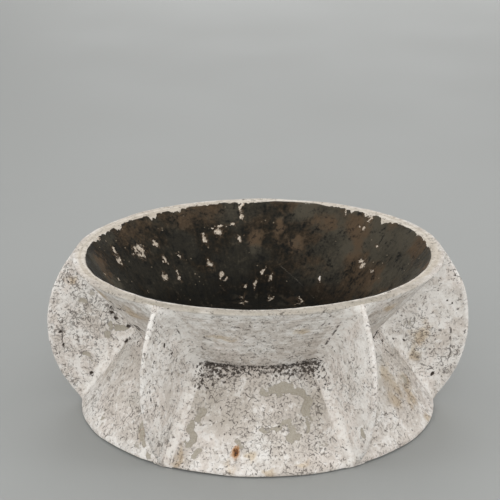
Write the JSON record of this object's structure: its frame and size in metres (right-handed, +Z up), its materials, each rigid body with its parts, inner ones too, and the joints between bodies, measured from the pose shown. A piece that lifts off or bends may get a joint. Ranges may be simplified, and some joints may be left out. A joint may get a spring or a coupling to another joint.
{
  "type": "floor planter",
  "caption": "Round floor planter: a wide conical bowl on a flared hollow foot, pinched at the waist, with thin rounded fins running from rim to base.",
  "frame": {"origin": "centre of the bottom of the base, on the floor", "axes": "+Z up along the bowl's axis, +X towards the right-hand fin, and the front, a bay between two fins, faces -Y"},
  "size_m": [0.8122, 0.7064, 0.3125],
  "materials": {
    "cement": "limewashed fibre cement, weathered and pitted",
    "mortar": "trowelled mortar under limewash",
    "rim": "smooth worn cement, cream",
    "bitumen": "old brushed bitumen, dull black brown",
    "nail": "rusted"
  },
  "bodies": {
    "root": {"rim_band": "rim", "bowl_wall": "cement", "bowl_floor": "cement", "waist_bed": "mortar", "skirt": "cement", "nail": "nail", "coat_wall": "bitumen", "coat_floor": "bitumen", "fin_right": "cement", "fin_rear_right": "cement", "fin_rear_left": "cement", "fin_left": "cement", "fin_front_left": "cement", "fin_front_right": "cement", "coves_right": "mortar", "coves_rear_right": "mortar", "coves_rear_left": "mortar", "coves_left": "mortar", "coves_front_left": "mortar", "coves_front_right": "mortar"}
  },
  "joints": []
}
